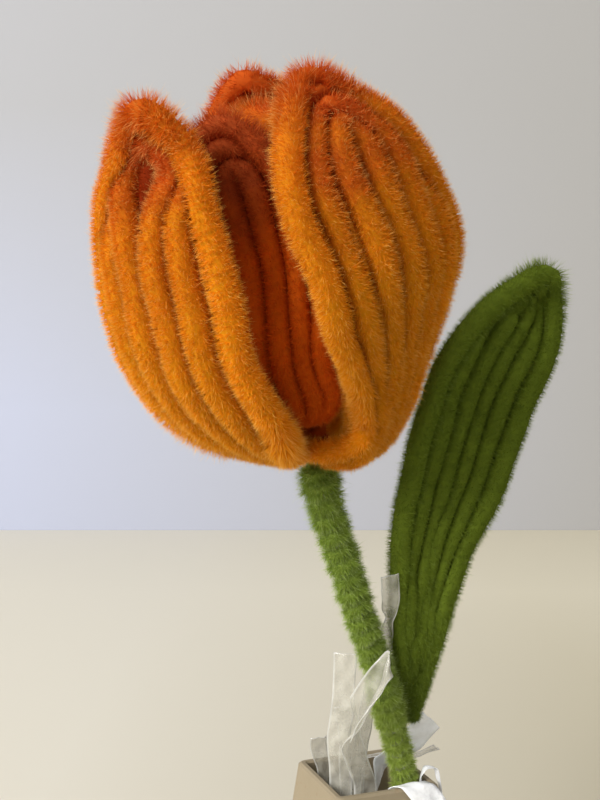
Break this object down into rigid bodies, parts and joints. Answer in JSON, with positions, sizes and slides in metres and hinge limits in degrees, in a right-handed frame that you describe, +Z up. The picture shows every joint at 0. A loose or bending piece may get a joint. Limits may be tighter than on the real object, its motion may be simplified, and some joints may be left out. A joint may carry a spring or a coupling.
{
  "type": "chenille-stem tulip in a small square vase",
  "caption": "Handmade tulip bent from orange and green chenille stems, standing in a small square ceramic vase with clear film shred round its stem.",
  "frame": {"origin": "centre of the vase's flat underside", "axes": "+Z up out of the vase, -Y towards the flower's front, +X to the right seen from the front"},
  "size_m": [0.0815, 0.0943, 0.1984],
  "materials": {
    "vase_ceramic": "matte, slightly speckled tan ceramic",
    "foam": "open-cell floral foam",
    "core_wire": "twisted wire bundle",
    "green_chenille": "olive green chenille pile",
    "leaf_chenille": "dark green chenille pile",
    "orange_chenille": "orange chenille pile, redder towards the tips",
    "inner_chenille": "red-orange chenille pile",
    "clear_film": "clear glossy crinkled film"
  },
  "bodies": {
    "root": {"vase": "vase_ceramic", "foam_block": "foam", "stem_core": "core_wire", "stem_wrap": "green_chenille", "leaf": "leaf_chenille", "petal_outer_left": "orange_chenille", "petal_outer_right": "orange_chenille", "petal_outer_back": "orange_chenille", "petal_inner_front": "inner_chenille", "petal_inner_right": "inner_chenille", "petal_inner_left": "inner_chenille", "film_strip_folded": "clear_film", "film_strip_tall": "clear_film", "film_strip_broad": "clear_film", "film_strip_middle": "clear_film", "film_strip_left": "clear_film", "film_strip_right": "clear_film", "film_strip_low": "clear_film", "film_fold_front": "clear_film", "film_fold_right": "clear_film"}
  },
  "joints": []
}
